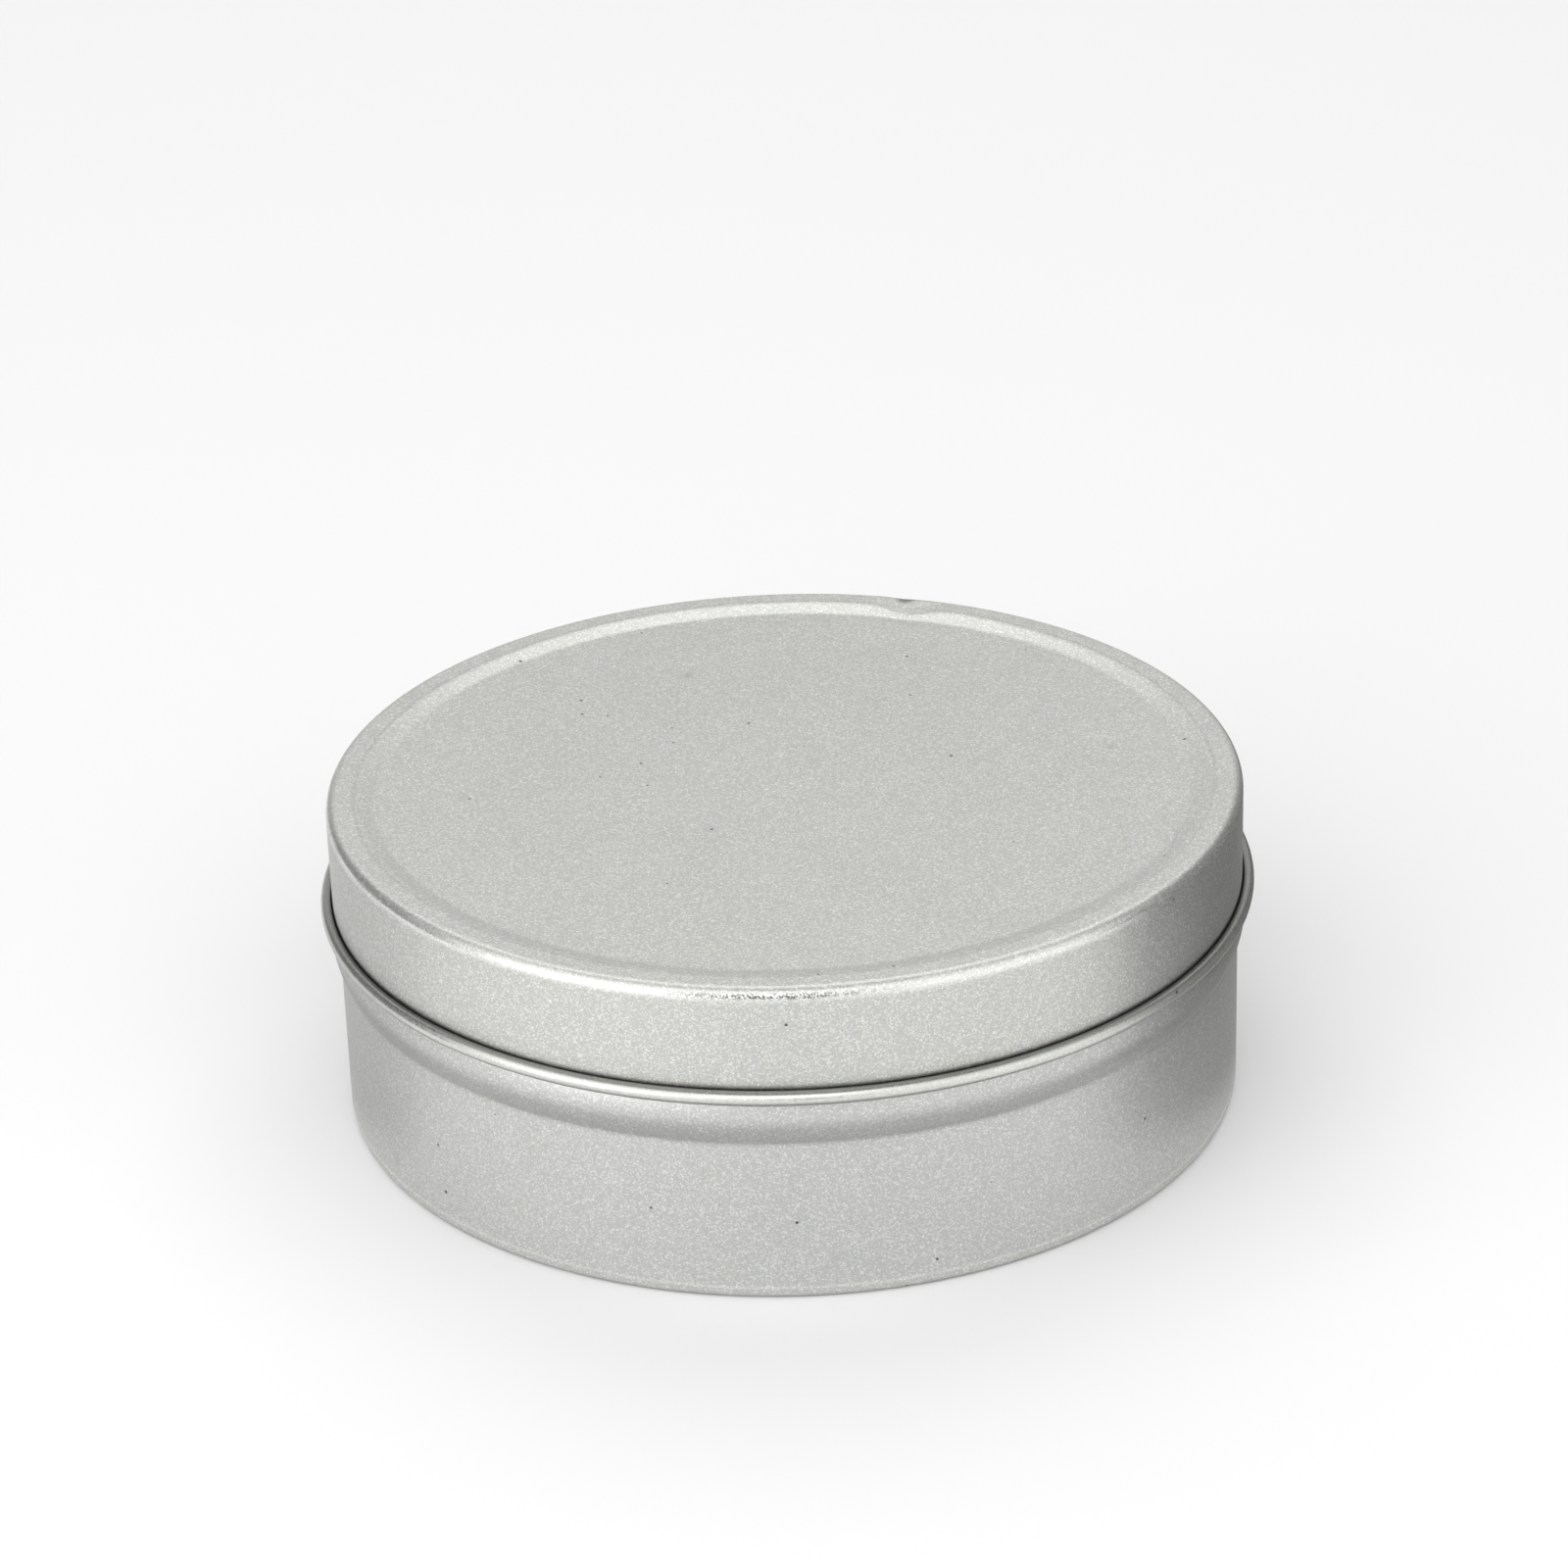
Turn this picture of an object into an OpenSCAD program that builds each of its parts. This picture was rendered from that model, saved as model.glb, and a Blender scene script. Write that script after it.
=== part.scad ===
// Shallow round slip-lid candle tin: a drawn body and a drawn lid, each bent from one sheet.
// Millimetres, +Z up. The origin is the centre of the foot the tin stands on.

/* [Sheet] */
// Thickness of the tinplate
sheet_t = 0.25; // [0.2:0.01:0.3]

/* [Tin] */
// Height of the closed tin, to the outer ring of the lid
tin_h = 30.4; // [28.4:0.1:40]
// Outside diameter of the lid's skirt
lid_d = 83.5; // [70:0.5:100]
// Gap between the neck and the inside of the skirt, on each side
lid_gap = 0.15; // [0.1:0.05:0.3]

/* [Lid] */
// Outside radius of the edge between the lid's top and its skirt
lid_edge_r = 1; // [0.6:0.1:1.5]
// Width of the flat ring round the lid's top, from the edge's round to the slope
lid_ring_w = 1.55; // [1:0.05:3]
// Depth of the lid's recessed panel below that ring
panel_drop = 0.5; // [0.4:0.05:1]
// Angle of the slope between the ring and the panel
panel_slope = 17; // [12:1:30]
// Centreline radius of the bends at the slope's top and foot
panel_bend_r = 2; // [1:0.1:2.5]
// Diameter of the curl rolled outward round the skirt's lower edge
curl_d = 1.32; // [1.2:0.02:1.6]
// Angle the curl turns through
curl_turn = 295; // [270:5:298]

/* [Body] */
// Height of the body's rim above the surface the tin stands on
rim_h = 27.3; // [26.8:0.1:27.8]
// Width of the rim rolled inward round the mouth
rim_w = 1.9; // [1.5:0.1:2.5]
// Height of the rolled rim
rim_roll_h = 1.25; // [1.1:0.05:1.4]
// Height of the crest of the stop bead
bead_z = 17.9; // [15.4:0.05:18.4]
// Height of the bead along the wall, from root to root
bead_w = 5.2; // [4.5:0.1:6]
// How far the bead stands out of the wall
bead_out = 0.69; // [0.6:0.01:0.8]
// Centreline radius of the bends at the bead's two roots
bead_root_r = 0.7; // [0.4:0.1:1]
// Gap left between the lid's curl and the bead it stops on
seat_gap = 0.05; // [0.02:0.01:0.1]
// Outside radius of the edge between the wall and the foot
foot_edge_r = 0.8; // [0.6:0.1:1.5]
// Width of the flat foot the tin stands on
foot_w = 0.7; // [0.5:0.1:2]
// Height of the base panel above the foot
base_rise = 0.45; // [0.3:0.05:0.8]
// Centreline radius of the two bends of the step from the foot to the base panel
base_bend_r = 0.6; // [0.5:0.05:1]

/* [Hidden] */
// Largest turn between two points of a bend, in degrees
bend_step = 6;
$fn = 180;

// Radii of the two walls, outside and at the middle of the sheet
lid_r = lid_d / 2;
body_r = lid_r - sheet_t - lid_gap;
lid_mid_r = lid_r - sheet_t / 2;
body_mid_r = body_r - sheet_t / 2;

// The bead is one arc between two root bends, and all three turn through the same half angle
bead_turn = 2 * atan(bead_out / (bead_w / 2));
bead_arc_r = bead_w / 2 / sin(bead_turn) - bead_root_r;

// The curl's centre stands over the bead's arc, the seat gap away from it
curl_r = curl_d / 2;
curl_mid_r = curl_r - sheet_t / 2;
curl_centre_r = lid_mid_r + curl_mid_r;
bead_centre_r = body_mid_r + bead_out - bead_arc_r;
seat_reach = bead_arc_r + sheet_t / 2 + curl_r + seat_gap;
curl_z = bead_z + sqrt(pow(seat_reach, 2) - pow(curl_centre_r - bead_centre_r, 2));

// Body sheet: base panel, step, foot, wall, bead, neck, rolled rim
foot_bend_r = foot_edge_r - sheet_t / 2;
rim_bend_r = (rim_roll_h - sheet_t) / 2;
rim_flat = rim_w - rim_roll_h;
step_turn = acos(1 - base_rise / 2 / base_bend_r);
step_w = 2 * base_bend_r * sin(step_turn);
base_panel_r = body_mid_r - foot_bend_r - foot_w - step_w;
wall_run = bead_z - bead_w / 2 - foot_edge_r;
neck_run = rim_h - rim_roll_h / 2 - bead_z - bead_w / 2;
body_moves = [
    [base_panel_r, base_bend_r, -step_turn],
    [0, base_bend_r, step_turn],
    [foot_w, foot_bend_r, 90],
    [wall_run, bead_root_r, -bead_turn],
    [0, bead_arc_r, 2 * bead_turn],
    [0, bead_root_r, -bead_turn],
    [neck_run, rim_bend_r, 90],
    [rim_flat, rim_bend_r, 180],
    [rim_flat, 0, 0]
];

// Lid sheet: recessed panel, slope, ring, edge, skirt, curl
lid_bend_r = lid_edge_r - sheet_t / 2;
slope_run = (panel_drop - 2 * panel_bend_r * (1 - cos(panel_slope))) / sin(panel_slope);
slope_w = 2 * panel_bend_r * sin(panel_slope) + slope_run * cos(panel_slope);
lid_panel_r = lid_r - lid_edge_r - lid_ring_w - slope_w;
skirt_run = tin_h - lid_edge_r - curl_z;
lid_moves = [
    [lid_panel_r, panel_bend_r, panel_slope],
    [slope_run, panel_bend_r, -panel_slope],
    [lid_ring_w, lid_bend_r, -90],
    [skirt_run, curl_mid_r, curl_turn]
];

function along(a) = [cos(a), sin(a)];
function left_of(a) = [-sin(a), cos(a)];

// Points [place, heading] down the middle of a sheet. A move is [run, radius, turn]:
// straight on for the run, then a bend of that radius through that angle, left positive.
function walk(moves, p, a, i = 0) = i == len(moves) ? [] :
    let (run = moves[i][0], r = moves[i][1], turn = moves[i][2])
    let (q = p + run * along(a))
    let (centre = q + sign(turn) * r * left_of(a))
    let (n = ceil(abs(turn) / bend_step))
    let (bend = [for (k = [1 : 1 : n]) a + turn * k / n])
    concat(
        run > 0 ? [[q, a]] : [],
        [for (b = bend) [centre - sign(turn) * r * left_of(b), b]],
        walk(moves, centre - sign(turn) * r * left_of(a + turn), a + turn, i + 1)
    );

// The half section of a sheet bent through the moves, starting on the tin's axis at height z
module sheet(moves, z) {
    start = [0, z];
    stations = concat([[start, 0]], walk(moves, start, 0));
    upper = [for (s = stations) s[0] + sheet_t / 2 * left_of(s[1])];
    lower = [for (s = stations) s[0] - sheet_t / 2 * left_of(s[1])];
    back = [for (i = [len(lower) - 1 : -1 : 0]) lower[i]];
    polygon(concat(upper, back));
}

module tin_body() {
    color("silver") rotate_extrude() sheet(body_moves, base_rise + sheet_t / 2);
}

module tin_lid() {
    color("gainsboro") rotate_extrude() sheet(lid_moves, tin_h - panel_drop - sheet_t / 2);
}

tin_body();
tin_lid();
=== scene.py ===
import math

import bpy
from mathutils import Matrix, Vector


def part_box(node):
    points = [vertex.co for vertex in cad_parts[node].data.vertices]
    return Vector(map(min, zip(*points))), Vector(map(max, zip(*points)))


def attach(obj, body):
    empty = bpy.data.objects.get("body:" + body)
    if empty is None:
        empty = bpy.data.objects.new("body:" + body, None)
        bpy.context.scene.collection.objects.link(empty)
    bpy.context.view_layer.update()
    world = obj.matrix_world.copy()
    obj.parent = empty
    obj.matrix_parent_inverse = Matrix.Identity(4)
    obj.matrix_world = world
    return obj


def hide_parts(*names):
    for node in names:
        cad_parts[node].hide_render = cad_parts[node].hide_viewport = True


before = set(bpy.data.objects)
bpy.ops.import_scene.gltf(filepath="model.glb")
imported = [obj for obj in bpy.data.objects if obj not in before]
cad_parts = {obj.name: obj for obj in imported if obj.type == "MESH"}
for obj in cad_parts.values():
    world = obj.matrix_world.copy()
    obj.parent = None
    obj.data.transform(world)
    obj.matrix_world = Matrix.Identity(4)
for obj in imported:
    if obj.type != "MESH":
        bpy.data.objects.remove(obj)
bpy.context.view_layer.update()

# Metres everywhere, in the CAD's frame: +Z up, origin at the centre of the foot.
MM = 0.001
body_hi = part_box("tin_body")[1]
lid_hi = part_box("tin_lid")[1]

# ---------------------------------------------------------------- camera
# 45 cm from the lid and 26 degrees above it, leaning 2 degrees to the right.
CAM_BACK = 0.4044
CAM_HEIGHT = 0.22484
CAM_ROLL = math.radians(-1.92)
CAM_AIM_Z = lid_hi.z - 1.0 * MM
CAM_LENS_MM = 113.0


def make_camera():
    data = bpy.data.cameras.new("camera")
    data.lens = CAM_LENS_MM
    data.sensor_width = 36.0
    data.clip_start = 0.01
    data.clip_end = 50.0
    cam = bpy.data.objects.new("camera", data)
    bpy.context.scene.collection.objects.link(cam)
    cam.location = (0, -CAM_BACK, CAM_HEIGHT)
    forward = Vector((0, 0, CAM_AIM_Z)) - cam.location
    cam.rotation_mode = "QUATERNION"
    level = forward.to_track_quat("-Z", "Y")
    cam.rotation_quaternion = level @ Matrix.Rotation(CAM_ROLL, 3, "Z").to_quaternion()
    bpy.context.scene.camera = cam


make_camera()

# ---------------------------------------------------------------- sheet outlines
# Each piece is one sheet, bent. A move is (run, radius, turn): straight on for the run, then a bend of that
# centreline radius through that many degrees, left positive. The lengths are those of the CAD model.
SHEET = 0.25 * MM
LID_GAP = 0.15 * MM
LID_EDGE_R = 1.0 * MM
LID_RING_W = 1.55 * MM
PANEL_DROP = 0.5 * MM
PANEL_SLOPE = 17.0
PANEL_BEND_R = 2.0 * MM
CURL_D = 1.32 * MM
CURL_TURN = 295.0
RIM_W = 1.9 * MM
RIM_ROLL_H = 1.25 * MM
BEAD_Z = 17.9 * MM
BEAD_W = 5.2 * MM
BEAD_OUT = 0.69 * MM
BEAD_ROOT_R = 0.7 * MM
SEAT_GAP = 0.05 * MM
FOOT_EDGE_R = 0.8 * MM
FOOT_W = 0.7 * MM
BASE_RISE = 0.45 * MM
BASE_BEND_R = 0.6 * MM

LID_R = lid_hi.x - CURL_D + SHEET
BODY_R = LID_R - SHEET - LID_GAP
RIM_Z = body_hi.z
LID_Z = lid_hi.z


def sin_deg(angle):
    return math.sin(math.radians(angle))


def cos_deg(angle):
    return math.cos(math.radians(angle))


BEAD_TURN = math.degrees(2 * math.atan(BEAD_OUT / (BEAD_W / 2)))
BEAD_ARC_R = BEAD_W / 2 / sin_deg(BEAD_TURN) - BEAD_ROOT_R


def curl_height():
    """The height of the curl's centre: over the bead's arc, the seat gap away from it."""
    curl_r = CURL_D / 2
    curl_from_axis = LID_R - SHEET + curl_r
    bead_from_axis = BODY_R - SHEET / 2 + BEAD_OUT - BEAD_ARC_R
    reach = BEAD_ARC_R + SHEET / 2 + curl_r + SEAT_GAP
    return BEAD_Z + math.sqrt(reach**2 - (curl_from_axis - bead_from_axis) ** 2)


def body_moves():
    foot_bend_r = FOOT_EDGE_R - SHEET / 2
    rim_bend_r = (RIM_ROLL_H - SHEET) / 2
    rim_flat = RIM_W - RIM_ROLL_H
    step_turn = math.degrees(math.acos(1 - BASE_RISE / 2 / BASE_BEND_R))
    step_w = 2 * BASE_BEND_R * sin_deg(step_turn)
    panel_r = BODY_R - SHEET / 2 - foot_bend_r - FOOT_W - step_w
    wall_run = BEAD_Z - BEAD_W / 2 - FOOT_EDGE_R
    neck_run = RIM_Z - RIM_ROLL_H / 2 - BEAD_Z - BEAD_W / 2
    return [
        (panel_r, BASE_BEND_R, -step_turn),
        (0, BASE_BEND_R, step_turn),
        (FOOT_W, foot_bend_r, 90),
        (wall_run, BEAD_ROOT_R, -BEAD_TURN),
        (0, BEAD_ARC_R, 2 * BEAD_TURN),
        (0, BEAD_ROOT_R, -BEAD_TURN),
        (neck_run, rim_bend_r, 90),
        (rim_flat, rim_bend_r, 180),
        (rim_flat, 0, 0),
    ]


def lid_moves():
    rise = 2 * PANEL_BEND_R * (1 - cos_deg(PANEL_SLOPE))
    slope_run = (PANEL_DROP - rise) / sin_deg(PANEL_SLOPE)
    slope_w = 2 * PANEL_BEND_R * sin_deg(PANEL_SLOPE) + slope_run * cos_deg(PANEL_SLOPE)
    panel_r = LID_R - LID_EDGE_R - LID_RING_W - slope_w
    skirt_run = LID_Z - LID_EDGE_R - curl_height()
    return [
        (panel_r, PANEL_BEND_R, PANEL_SLOPE),
        (slope_run, PANEL_BEND_R, -PANEL_SLOPE),
        (LID_RING_W, LID_EDGE_R - SHEET / 2, -90),
        (skirt_run, (CURL_D - SHEET) / 2, CURL_TURN),
    ]


EDGE_BAND = 0.12 * MM  # a narrow band beside each bend keeps the big faces' shading flat
RUN_STEP = 1.6 * MM
BEND_STEP = 7.0


def run_stops(run):
    """Distances along a straight run where it gets a ring of vertices."""
    if run < 4 * EDGE_BAND:
        return [run] if run > 0 else []
    inner = run - 2 * EDGE_BAND
    n = max(1, math.ceil(inner / RUN_STEP))
    return [EDGE_BAND + inner * k / n for k in range(n + 1)] + [run]


def stations(moves, z):
    """Places down the middle of the sheet, from the axis outward: (r, z, heading in degrees)."""
    out = [(0.0, z, 0.0)]
    r, a = 0.0, 0.0
    for run, radius, turn in moves:
        for s in run_stops(run):
            out.append((r + s * cos_deg(a), z + s * sin_deg(a), a))
        r, z = r + run * cos_deg(a), z + run * sin_deg(a)
        if turn:
            side = math.copysign(radius, turn)
            cr, cz = r - side * sin_deg(a), z + side * cos_deg(a)
            n = math.ceil(abs(turn) / BEND_STEP)
            for k in range(1, n + 1):
                b = a + turn * k / n
                out.append((cr + side * sin_deg(b), cz - side * cos_deg(b), b))
            a += turn
            r, z = out[-1][0], out[-1][1]
    return out


# ---------------------------------------------------------------- turned sheet meshes
SEGMENTS = 288
AT_AXIS = 1e-9


def sheet_outline(moves, z):
    """The half section's points (r, z), each with 0 on the left of the moves and 1 on their right."""
    line = stations(moves, z)
    half = SHEET / 2
    left = [(r - half * sin_deg(a), h + half * cos_deg(a)) for r, h, a in line]
    right = [(r + half * sin_deg(a), h - half * cos_deg(a)) for r, h, a in line]
    return [(p, 0) for p in left] + [(p, 1) for p in reversed(right)]


def turned_vertices(outline):
    """The outline's points turned round Z, and for each point the list of its vertices."""
    verts, rings = [], []
    for (r, h), _ in outline:
        if r < AT_AXIS:
            rings.append([len(verts)])
            verts.append((0, 0, h))
            continue
        rings.append(list(range(len(verts), len(verts) + SEGMENTS)))
        for k in range(SEGMENTS):
            t = 2 * math.pi * k / SEGMENTS
            verts.append((r * math.cos(t), r * math.sin(t), h))
    return verts, rings


def faces_between(a, b):
    """Faces from one ring of vertices to the next; a ring on the axis is one vertex."""
    faces = []
    for k in range(SEGMENTS):
        m = (k + 1) % SEGMENTS
        if len(a) == 1:
            faces.append((a[0], b[k], b[m]))
        elif len(b) == 1:
            faces.append((a[k], b[0], a[m]))
        else:
            faces.append((a[k], b[k], b[m], a[m]))
    return faces


def turned_sheet(name, moves, z, left_slot, right_slot):
    """A closed mesh of the sheet turned round Z. Faces on the left of the moves get the first material."""
    outline = sheet_outline(moves, z)
    verts, rings = turned_vertices(outline)
    faces, slots = [], []
    for i in range(len(outline) - 1):
        strip = faces_between(rings[i], rings[i + 1])
        faces += strip
        slots += [outline[i][1]] * len(strip)
    mesh = bpy.data.meshes.new(name)
    mesh.from_pydata(verts, [], faces)
    mesh.materials.append(left_slot)
    mesh.materials.append(right_slot)
    mesh.polygons.foreach_set("material_index", slots)
    mesh.polygons.foreach_set("use_smooth", [True] * len(faces))
    mesh.update()
    ob = bpy.data.objects.new(name, mesh)
    bpy.context.scene.collection.objects.link(ob)
    return ob


# ---------------------------------------------------------------- the knock in the lid
# The lid's top is knocked in behind and to the right. Places and widths are (across, out) in millimetres,
# measured from the lid's axis, with "out" pointing KNOCK_TURN degrees from +X.
KNOCK_TURN = 70.9
RING_AT = (0.0, 39.2)
RING_INNER_WIDTH = (2.4, 1.6)
RING_OUTER_WIDTH = (2.4, 1.1)
RING_IN = 0.9 * MM
RING_DOWN = 0.4 * MM
DENT_AT = (1.2, 41.2)
DENT_WIDTH = (1.0, 0.5)
DENT_DOWN = 0.1 * MM
HOLLOW_AT = (-2.0, 31.0)
HOLLOW_WIDTH = (7.0, 5.0)
HOLLOW_DOWN = 0.2 * MM
KNOCK_FROM_R = 15  # the knock leaves everything nearer the axis alone
KNOCK_REACH_DOWN = 2 * MM  # and everything further below the lid's top


def bell(side, r, centre, width):
    """1 at the centre, fading to 0 a couple of widths away."""
    a = (side - centre[0]) / width[0]
    b = (r - centre[1]) / width[1]
    return math.exp(-(a**2) - b**2)


def knock(piece):
    """Pushes the ring in and down, with a dent outside it and a hollow inside. Nothing moves out or up."""
    turn = math.radians(KNOCK_TURN)
    outward = Vector((math.cos(turn), math.sin(turn), 0))
    across = Vector((-outward.y, outward.x, 0))
    for v in piece.data.vertices:
        r = v.co.dot(outward) / MM
        side = v.co.dot(across) / MM
        if r < KNOCK_FROM_R or v.co.z < LID_Z - KNOCK_REACH_DOWN:
            continue
        ring = bell(side, r, RING_AT, RING_INNER_WIDTH if r < RING_AT[1] else RING_OUTER_WIDTH)
        dent = bell(side, r, DENT_AT, DENT_WIDTH)
        hollow = bell(side, r, HOLLOW_AT, HOLLOW_WIDTH)
        v.co -= outward * RING_IN * ring
        v.co.z -= RING_DOWN * ring + DENT_DOWN * dent + HOLLOW_DOWN * hollow


# ---------------------------------------------------------------- materials
class Graph:
    """Short hands for building a node tree. Values may be numbers or sockets; lengths are in millimetres."""

    def __init__(self, tree):
        self.tree = tree
        self.place_mm = None

    def add(self, kind, **settings):
        n = self.tree.nodes.new(kind)
        for key, value in settings.items():
            setattr(n, key, value)
        return n

    def put(self, value, socket):
        if isinstance(value, bpy.types.NodeSocket):
            self.tree.links.new(value, socket)
        else:
            socket.default_value = value

    def math(self, operation, a, b=0.0):
        n = self.add("ShaderNodeMath", operation=operation)
        self.put(a, n.inputs[0])
        self.put(b, n.inputs[1])
        return n.outputs[0]

    def plus(self, a, b):
        return self.math("ADD", a, b)

    def minus(self, a, b):
        return self.math("SUBTRACT", a, b)

    def times(self, a, b):
        return self.math("MULTIPLY", a, b)

    def ramp(self, value, lo, hi):
        """0 at lo, 1 at hi, smooth between; lo may be above hi."""
        n = self.add("ShaderNodeMapRange", interpolation_type="SMOOTHSTEP")
        self.put(value, n.inputs["Value"])
        n.inputs["From Min"].default_value = lo
        n.inputs["From Max"].default_value = hi
        return n.outputs["Result"]

    def place(self):
        """The place on the piece, in millimetres."""
        if self.place_mm is None:
            coord = self.add("ShaderNodeTexCoord")
            scale = self.add("ShaderNodeVectorMath", operation="SCALE")
            self.put(coord.outputs["Object"], scale.inputs[0])
            scale.inputs["Scale"].default_value = 1 / MM
            self.place_mm = scale.outputs[0]
        return self.place_mm

    def along(self, axis):
        """The place along one axis, "X", "Y" or "Z"."""
        split = self.add("ShaderNodeSeparateXYZ")
        self.put(self.place(), split.inputs[0])
        return split.outputs[axis]

    def away_from(self, point):
        """The distance to a point."""
        n = self.add("ShaderNodeVectorMath", operation="DISTANCE")
        self.put(self.place(), n.inputs[0])
        n.inputs[1].default_value = point
        return n.outputs["Value"]

    def noise(self, size, detail=1.0):
        """Soft noise about 0.5 with lumps of this size."""
        n = self.add("ShaderNodeTexNoise")
        self.put(self.place(), n.inputs["Vector"])
        n.inputs["Scale"].default_value = 1 / size
        n.inputs["Detail"].default_value = detail
        return n.outputs["Fac"]

    def cells(self, size):
        """Cells of this size: (distance to the middle in mm, and two random numbers for each cell)."""
        n = self.add("ShaderNodeTexVoronoi")
        self.put(self.place(), n.inputs["Vector"])
        n.inputs["Scale"].default_value = 1 / size
        split = self.add("ShaderNodeSeparateColor")
        self.put(n.outputs["Color"], split.inputs[0])
        return self.times(n.outputs["Distance"], size), split.outputs[0], split.outputs[1]

    def dots(self, spacing, radius):
        """Small round dots: 1 inside, 0 outside; no two of the same size."""
        distance, chance, _ = self.cells(spacing)
        over = self.minus(self.times(chance, radius), distance)
        return self.ramp(over, -0.2 * radius, 0.3 * radius)

    def band(self, value, middle, width):
        """1 at the middle, 0 beyond the width either side."""
        return self.ramp(self.math("ABSOLUTE", self.minus(value, middle)), width, 0.0)

    def vary(self, base, wave, amount):
        """base + (wave - 0.5) * amount"""
        return self.plus(base, self.times(self.minus(wave, 0.5), amount))


def darker(g, tone, mask, amount):
    """The tone, darkened by this amount where the mask is 1."""
    return g.times(tone, g.minus(1.0, g.times(mask, amount)))


# Sizes in the lacquer, in millimetres: of its lumps, or spacing and largest radius of its dots.
FLAKE = 0.12
FINE_GRAIN = 0.17
ORANGE_PEEL = 0.85
DRIFT = 9.0
SPECKS = (3.1, 0.18)
DUST = (1.7, 0.08)
SMUDGES = (17.0, 0.7)
SPARKLE_MEAN = 0.25  # the mean of a random number's cube: most flakes are dull and a few shine
HUE_LEAN = (0.06, 0.0, -0.06)


def lacquer_tone(g, flake, fine, peel, drift, flake_amount):
    """Brightness of the lacquer about 1."""
    sparkle = g.math("POWER", flake, 3.0)
    tone = g.vary(1.0 + (0.5 - SPARKLE_MEAN) * flake_amount, sparkle, flake_amount)
    tone = g.vary(tone, fine, 0.3 * flake_amount)
    tone = g.vary(tone, peel, 0.1 * flake_amount)
    tone = g.vary(tone, drift, 0.03)
    specks = g.math("MAXIMUM", g.dots(*SPECKS), g.times(g.dots(*DUST), 0.6))
    tone = darker(g, tone, specks, 0.8)
    return darker(g, tone, g.dots(*SMUDGES), 0.1)


def lacquer_colour(g, colour, tone, hue):
    """The colour times the tone, with each flake a little warmer or cooler."""
    shade = g.add("ShaderNodeCombineColor")
    for k, lean in enumerate(HUE_LEAN):
        g.put(g.times(tone, g.vary(1.0, hue, lean)), shade.inputs[k])
    mix = g.add("ShaderNodeMix", data_type="RGBA", blend_type="MULTIPLY")
    mix.inputs["Factor"].default_value = 1.0
    mix.inputs[6].default_value = (*colour, 1)
    g.put(shade.outputs[0], mix.inputs[7])
    return mix.outputs[2]


def lacquer(name, colour, roughness, flake_amount, wear_and_painted_light):
    """Satin silver lacquer on tinplate: fine metallic flake, orange peel, a few dark specks."""
    mat = bpy.data.materials.new(name)
    mat.use_nodes = True
    g = Graph(mat.node_tree)
    shader = mat.node_tree.nodes["Principled BSDF"]
    shader.inputs["Metallic"].default_value = 1.0
    shader.inputs["Coat Weight"].default_value = 0.12
    shader.inputs["Coat Roughness"].default_value = 0.25
    _, flake, hue = g.cells(FLAKE)
    fine = g.noise(FINE_GRAIN, 2.0)
    peel = g.noise(ORANGE_PEEL, 1.0)
    drift = g.noise(DRIFT, 2.0)
    tone = lacquer_tone(g, flake, fine, peel, drift, flake_amount)
    rough = g.vary(g.vary(roughness, flake, 0.10), drift, 0.06)
    height = g.plus(g.times(fine, 0.007), g.times(peel, 0.002))
    tone, rough, height = wear_and_painted_light(g, tone, rough, height)
    g.put(lacquer_colour(g, colour, tone, hue), shader.inputs["Base Color"])
    g.put(rough, shader.inputs["Roughness"])
    bump = g.add("ShaderNodeBump")
    bump.inputs["Strength"].default_value = 1.0
    bump.inputs["Distance"].default_value = MM
    g.put(height, bump.inputs["Height"])
    g.put(bump.outputs["Normal"], shader.inputs["Normal"])
    return mat


# ---------------------------------------------------------------- wear and painted light
# Heights, radii and places on the lid and body, in millimetres.
TOP = LID_Z / MM
EDGE_R = (LID_R - LID_EDGE_R) / MM  # where the lid's flat ring ends and its corner begins
RING_INNER_R = EDGE_R - LID_RING_W / MM
CURL_MIDDLE = curl_height() / MM
CURL_R = CURL_D / 2 / MM
BEAD = BEAD_Z / MM
FOOT_BEND = FOOT_EDGE_R / MM
DENT_SHADE_AT = (12.6, 39.0, TOP - 0.1)  # painted shade of the knock's dent, on the edge outside the knock
SMUDGE_AT = (-8.8, 23.4, TOP - PANEL_DROP / MM)
FRONT_CRACKLE_X = -2.0
FRONT_CRACKLE_HALF = 15.0


def crackle(g, x, y, z, corner):
    """Where the lacquer is crackled: round the corner in patches, and most at the front."""
    edge = g.times(g.band(z, TOP - 0.62, 0.45), corner)
    cracks = g.ramp(g.noise(0.2, 2.0), 0.46, 0.56)
    front = g.times(g.band(x, FRONT_CRACKLE_X, FRONT_CRACKLE_HALF), g.ramp(y, -34.0, -38.0))
    patches = g.times(g.ramp(g.noise(7.0), 0.45, 0.65), 0.3)
    return g.times(g.times(edge, cracks), g.math("MAXIMUM", front, patches))


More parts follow.
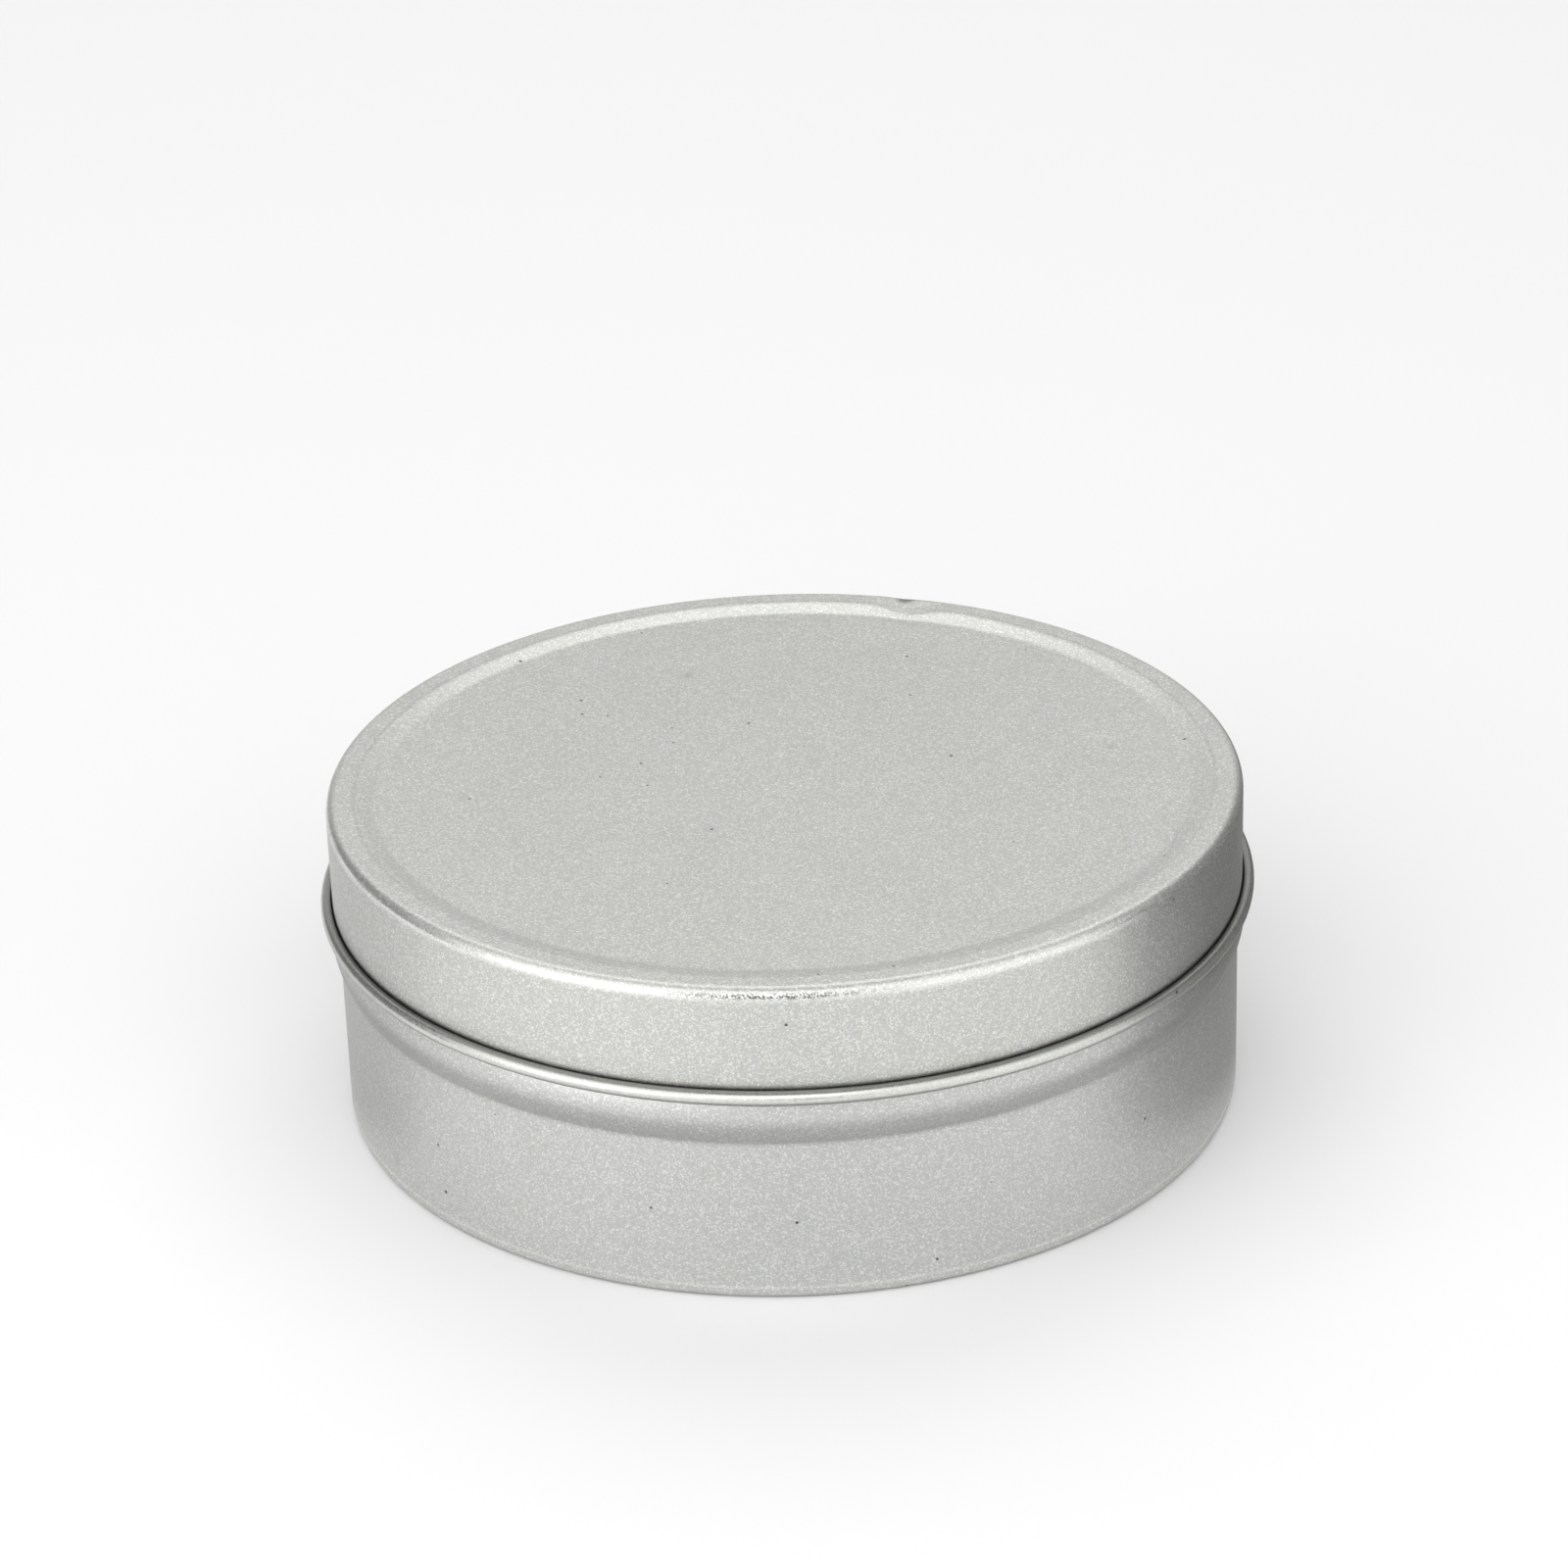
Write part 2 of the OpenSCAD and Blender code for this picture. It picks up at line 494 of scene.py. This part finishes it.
def lid_wear_and_painted_light(g, tone, rough, height):
    """A rubbed, glossier corner brightened as a painted highlight, crackled lacquer, a smudge, and painted
    shade at the ring's crease, at the knock's dent and in the crevice above the curl.
    """
    x, y, z = (g.along(axis) for axis in "XYZ")
    radius = g.math("SQRT", g.plus(g.times(x, x), g.times(y, y)))
    corner = g.ramp(radius, EDGE_R, EDGE_R + 0.4)
    # The rubbed corner is glossier, and its brightening is a painted highlight.
    rubbed_highlight = g.times(g.band(z, TOP - 0.7, 0.65), corner)
    tone = g.plus(tone, g.times(rubbed_highlight, 0.34))
    rough = g.minus(rough, g.times(rubbed_highlight, 0.16))
    cracked = crackle(g, x, y, z, corner)
    tone = darker(g, tone, cracked, 0.82)
    height = g.minus(height, g.times(cracked, 0.04))
    # Painted shade along the crease at the ring's inner edge.
    crease_shade = g.band(radius, RING_INNER_R, 0.3)
    tone = darker(g, tone, crease_shade, 0.1)
    # Painted shade of the knock's dent, on the lid's edge.
    dent_shade = g.ramp(g.away_from(DENT_SHADE_AT), 1.3, 0.4)
    tone = darker(g, tone, dent_shade, 0.6)
    smudge = g.ramp(g.away_from(SMUDGE_AT), 1.0, 0.2)
    tone = darker(g, tone, smudge, 0.14)
    # Painted shade in the crevice between the skirt and the curl.
    gap_shade = g.ramp(z, CURL_MIDDLE + CURL_R + 0.5, CURL_MIDDLE + CURL_R - 0.15)
    return darker(g, tone, gap_shade, 0.7), rough, height


def curl_painted_light(g, tone, rough, height):
    """The curl is brightened as a painted highlight, so it is bright along its outer edge only; painted
    shade darkens its top and underside.
    """
    z = g.along("Z")
    at_curl = g.ramp(z, CURL_MIDDLE + 1.0, CURL_MIDDLE + 0.7)
    # Painted highlight: the curl is brightened all over.
    tone = g.plus(tone, g.times(at_curl, 0.14))
    # Painted shade on the curl's top and underside, where it meets the skirt and the bead.
    away = g.math("ABSOLUTE", g.minus(z, CURL_MIDDLE + 0.15))
    gap_shade = g.times(g.ramp(away, 0.18, 0.6), at_curl)
    return darker(g, tone, gap_shade, 0.64), rough, height


def body_wear_and_painted_light(g, tone, rough, height):
    """Painted shadow under the lid's curl, painted shade in the bead's lower flank, and a rubbed line above
    the foot's bend lightened as a painted highlight.
    """
    z = g.along("Z")
    # Painted shadow where the lid's curl sits on the bead.
    tone = darker(g, tone, g.band(z, CURL_MIDDLE - CURL_R, 0.45), 0.75)
    # Painted shade in the bead's lower flank, which faces down.
    flank_shade = g.times(g.ramp(z, BEAD - 3.0, BEAD - 2.15), g.ramp(z, BEAD + 0.5, BEAD - 1.1))
    tone = darker(g, tone, flank_shade, 0.27)
    # A rubbed, glossier line above the foot's bend, also lightened as a painted highlight.
    foot_rub_highlight = g.band(z, FOOT_BEND + 0.35, 0.25)
    tone = g.plus(tone, g.times(foot_rub_highlight, 0.14))
    rough = g.minus(rough, g.times(foot_rub_highlight, 0.1))
    return tone, rough, height


def no_wear(g, tone, rough, height):
    return tone, rough, height


# ---------------------------------------------------------------- the four lacquered faces
SILVER = (0.63, 0.636, 0.609)
BODY_SILVER = (0.595, 0.60, 0.583)
CURL_DULL = (0.60, 0.607, 0.575)
DULL = (0.53, 0.533, 0.496)
SATIN = 0.46
SMOOTH = 0.32
LID_OUTSIDE = lacquer("lid_lacquer_outside", SILVER, SATIN, 0.44, lid_wear_and_painted_light)
LID_INSIDE = lacquer("lid_lacquer_inside", CURL_DULL, SMOOTH, 0.26, curl_painted_light)
BODY_OUTSIDE = lacquer("body_lacquer_outside", BODY_SILVER, SATIN, 0.41, body_wear_and_painted_light)
BODY_INSIDE = lacquer("body_lacquer_inside", DULL, SMOOTH, 0.26, no_wear)

# ---------------------------------------------------------------- pieces
body = turned_sheet("body_sheet", body_moves(), BASE_RISE + SHEET / 2, BODY_INSIDE, BODY_OUTSIDE)
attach(body, "body")
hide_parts("tin_body")

lid = turned_sheet("lid_sheet", lid_moves(), LID_Z - PANEL_DROP - SHEET / 2, LID_OUTSIDE, LID_INSIDE)
knock(lid)
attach(lid, "lid")
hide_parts("tin_lid")


# ---------------------------------------------------------------- stage and light
FLOOR_R = 0.8
FLOOR_SIDES = 96
FLOOR_BELOW = 0.02 * MM  # keeps the floor from flickering through the foot
FLOOR_GREY = 0.76


def stage_mesh(name, points, grey, roughness):
    """One flat face of plain grey that belongs to the stage, not to the tin."""
    mesh = bpy.data.meshes.new(name)
    mesh.from_pydata(points, [], [list(range(len(points)))])
    ob = bpy.data.objects.new(name, mesh)
    bpy.context.scene.collection.objects.link(ob)
    mat = bpy.data.materials.new(name + "_grey")
    mat.use_nodes = True
    shader = mat.node_tree.nodes["Principled BSDF"]
    shader.inputs["Base Color"].default_value = (grey, grey, grey, 1)
    shader.inputs["Roughness"].default_value = roughness
    mesh.materials.append(mat)
    return ob


def make_floor():
    turns = [2 * math.pi * k / FLOOR_SIDES for k in range(FLOOR_SIDES)]
    rim = [(FLOOR_R * math.cos(t), FLOOR_R * math.sin(t), -FLOOR_BELOW) for t in turns]
    stage_mesh("floor", rim, FLOOR_GREY, 0.9)


def card(name, corners, grey):
    """Something dull beside the tin, seen only in its reflections: painted shade."""
    ob = stage_mesh(name, corners, grey, 0.5)
    ob.visible_camera = False
    ob.visible_diffuse = False
    ob.visible_shadow = False


def softbox(name, azimuth, elevation, distance, size, radiance):
    """A soft light aimed at the tin. Azimuth 0 is in front, 90 to the right, 180 behind."""
    az, el = math.radians(azimuth), math.radians(elevation)
    away = Vector((math.sin(az) * math.cos(el), -math.cos(az) * math.cos(el), math.sin(el)))
    data = bpy.data.lights.new(name, "AREA")
    data.shape = "RECTANGLE"
    data.size, data.size_y = size
    data.energy = radiance * math.pi * size[0] * size[1]
    lamp = bpy.data.objects.new(name, data)
    bpy.context.scene.collection.objects.link(lamp)
    lamp.location = away * distance
    lamp.rotation_mode = "QUATERNION"
    lamp.rotation_quaternion = (-away).to_track_quat("-Z", "Y")
    lamp.visible_camera = False
    return lamp


def floor_lights():
    """Two lights that even out the floor; they aren't seen in the tin."""
    backdrop = softbox("backdrop", 180, 45, 1.0, (1.6, 0.5), 1.1)
    backdrop.location += Vector((0, 0.25, 0))
    backdrop.rotation_quaternion = Vector((0, 0, -1)).to_track_quat("-Z", "Y")
    backdrop.visible_glossy = False
    fill = softbox("floor_fill", 0, 60, 1.0, (1.4, 1.4), 0.6)
    fill.visible_glossy = False


def make_world(radiance, backdrop):
    """Dim light from all round, with a pale backdrop seen past the floor's edge."""
    world = bpy.data.worlds.new("studio")
    bpy.context.scene.world = world
    world.use_nodes = True
    g = Graph(world.node_tree)
    seen = g.add("ShaderNodeLightPath").outputs["Is Camera Ray"]
    back = world.node_tree.nodes["Background"]
    back.inputs["Color"].default_value = (1, 1, 1, 1)
    g.put(g.plus(radiance, g.times(seen, backdrop - radiance)), back.inputs["Strength"])


make_floor()
softbox("front_left", -43, 36, 0.8, (1.3, 1.2), 1.25)
softbox("front_right", 43, 36, 0.8, (1.2, 1.2), 0.95)
softbox("strip_left", -48, 15, 0.78, (0.3, 0.4), 1.5)
softbox("back_low", 180, 18, 1.0, (1.3, 0.62), 0.5)
softbox("back_high", 180, 60, 1.0, (1.1, 0.6), 1.7)
floor_lights()
make_world(0.2, 1.0)

# One card stands on edge at the tin's right, and one lies on the floor at each side; all three are painted
# shade, seen only in the tin's reflections. Places in metres.
CARD_NEAR = (0.063, -0.031)
CARD_FAR = (0.052, 0.095)
CARD_HEIGHT = 0.028
BESIDE_FOOT = 0.0435
SIDE_CARD = [(*CARD_NEAR, 0), (*CARD_FAR, 0), (*CARD_FAR, CARD_HEIGHT), (*CARD_NEAR, CARD_HEIGHT)]
SIDE_SHADE = [(BESIDE_FOOT, -0.036, 0), (0.064, -0.031, 0), (0.053, 0.095, 0), (BESIDE_FOOT, 0.06, 0)]
LEFT_SHADE = [(-BESIDE_FOOT, -0.02, 0), (-BESIDE_FOOT, 0.03, 0), (-0.1, 0.12, 0), (-0.14, 0, 0)]
card("side_card", SIDE_CARD, 0.24)
card("side_shade", SIDE_SHADE, 0.39)
card("left_shade", LEFT_SHADE, 0.54)
bpy.context.scene.view_settings.view_transform = "Standard"
